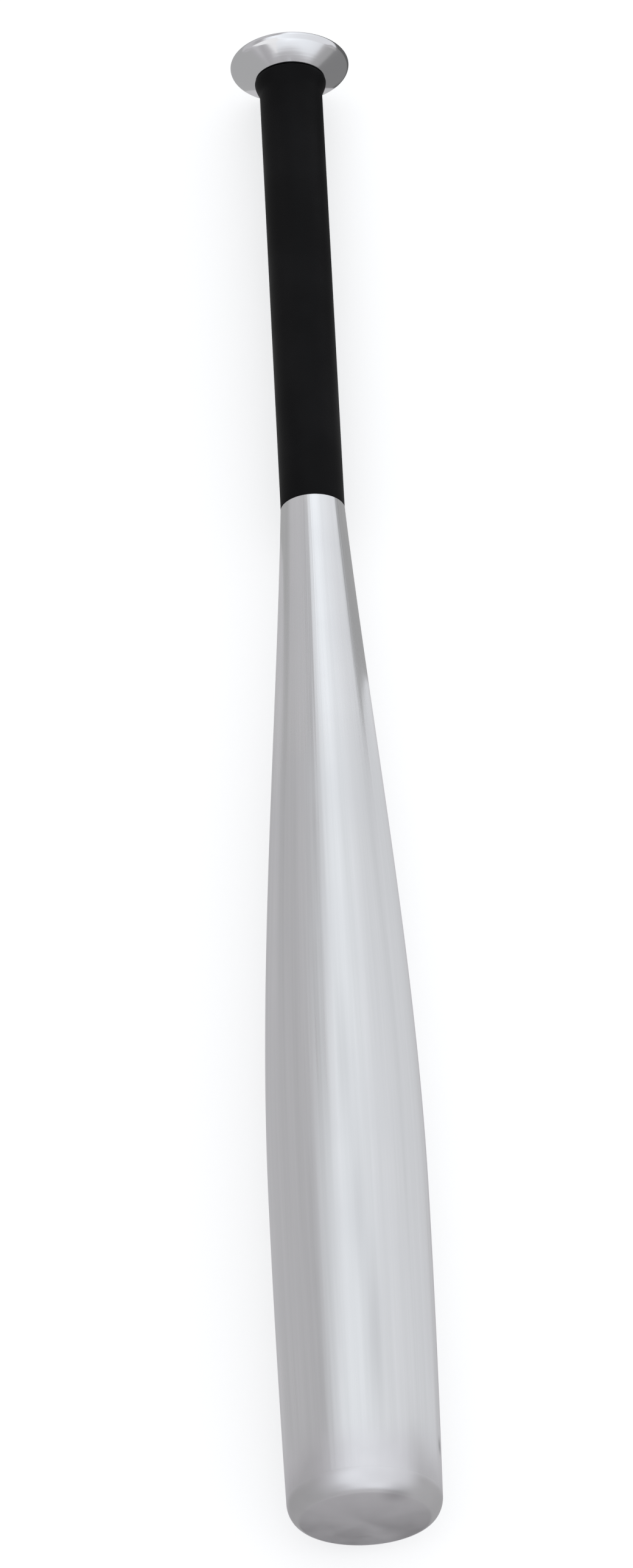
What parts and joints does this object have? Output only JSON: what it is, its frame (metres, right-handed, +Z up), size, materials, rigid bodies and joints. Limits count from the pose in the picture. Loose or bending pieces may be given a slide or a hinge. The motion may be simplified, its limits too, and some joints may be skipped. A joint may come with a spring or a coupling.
{
  "type": "baseball bat",
  "caption": "Short hollow aluminium baseball bat with a rounded closed barrel end, long taper, black rubber grip sleeve and round metal knob, lying on its side.",
  "frame": {"origin": "on the floor, under the middle of the bat's length and below its axis", "axes": "+X along the bat's axis from the knob to the barrel end, +Z up, the bat lying on its side with the axis level"},
  "size_m": [0.61, 0.057, 0.0569],
  "materials": {
    "satin_aluminium": "satin, brushed lengthwise",
    "cap_aluminium": "satin",
    "filler_foam": "open-cell foam",
    "damper_rubber": "matte",
    "grip_rubber": "matte",
    "knob_aluminium": "polished",
    "plug_rubber": "matte"
  },
  "bodies": {
    "root": {"bat_shell": "satin_aluminium", "barrel_end_cap": "cap_aluminium", "barrel_foam_plug": "filler_foam", "handle_damper": "damper_rubber", "grip_sleeve": "grip_rubber", "knob": "knob_aluminium", "knob_plug": "plug_rubber"}
  },
  "joints": []
}
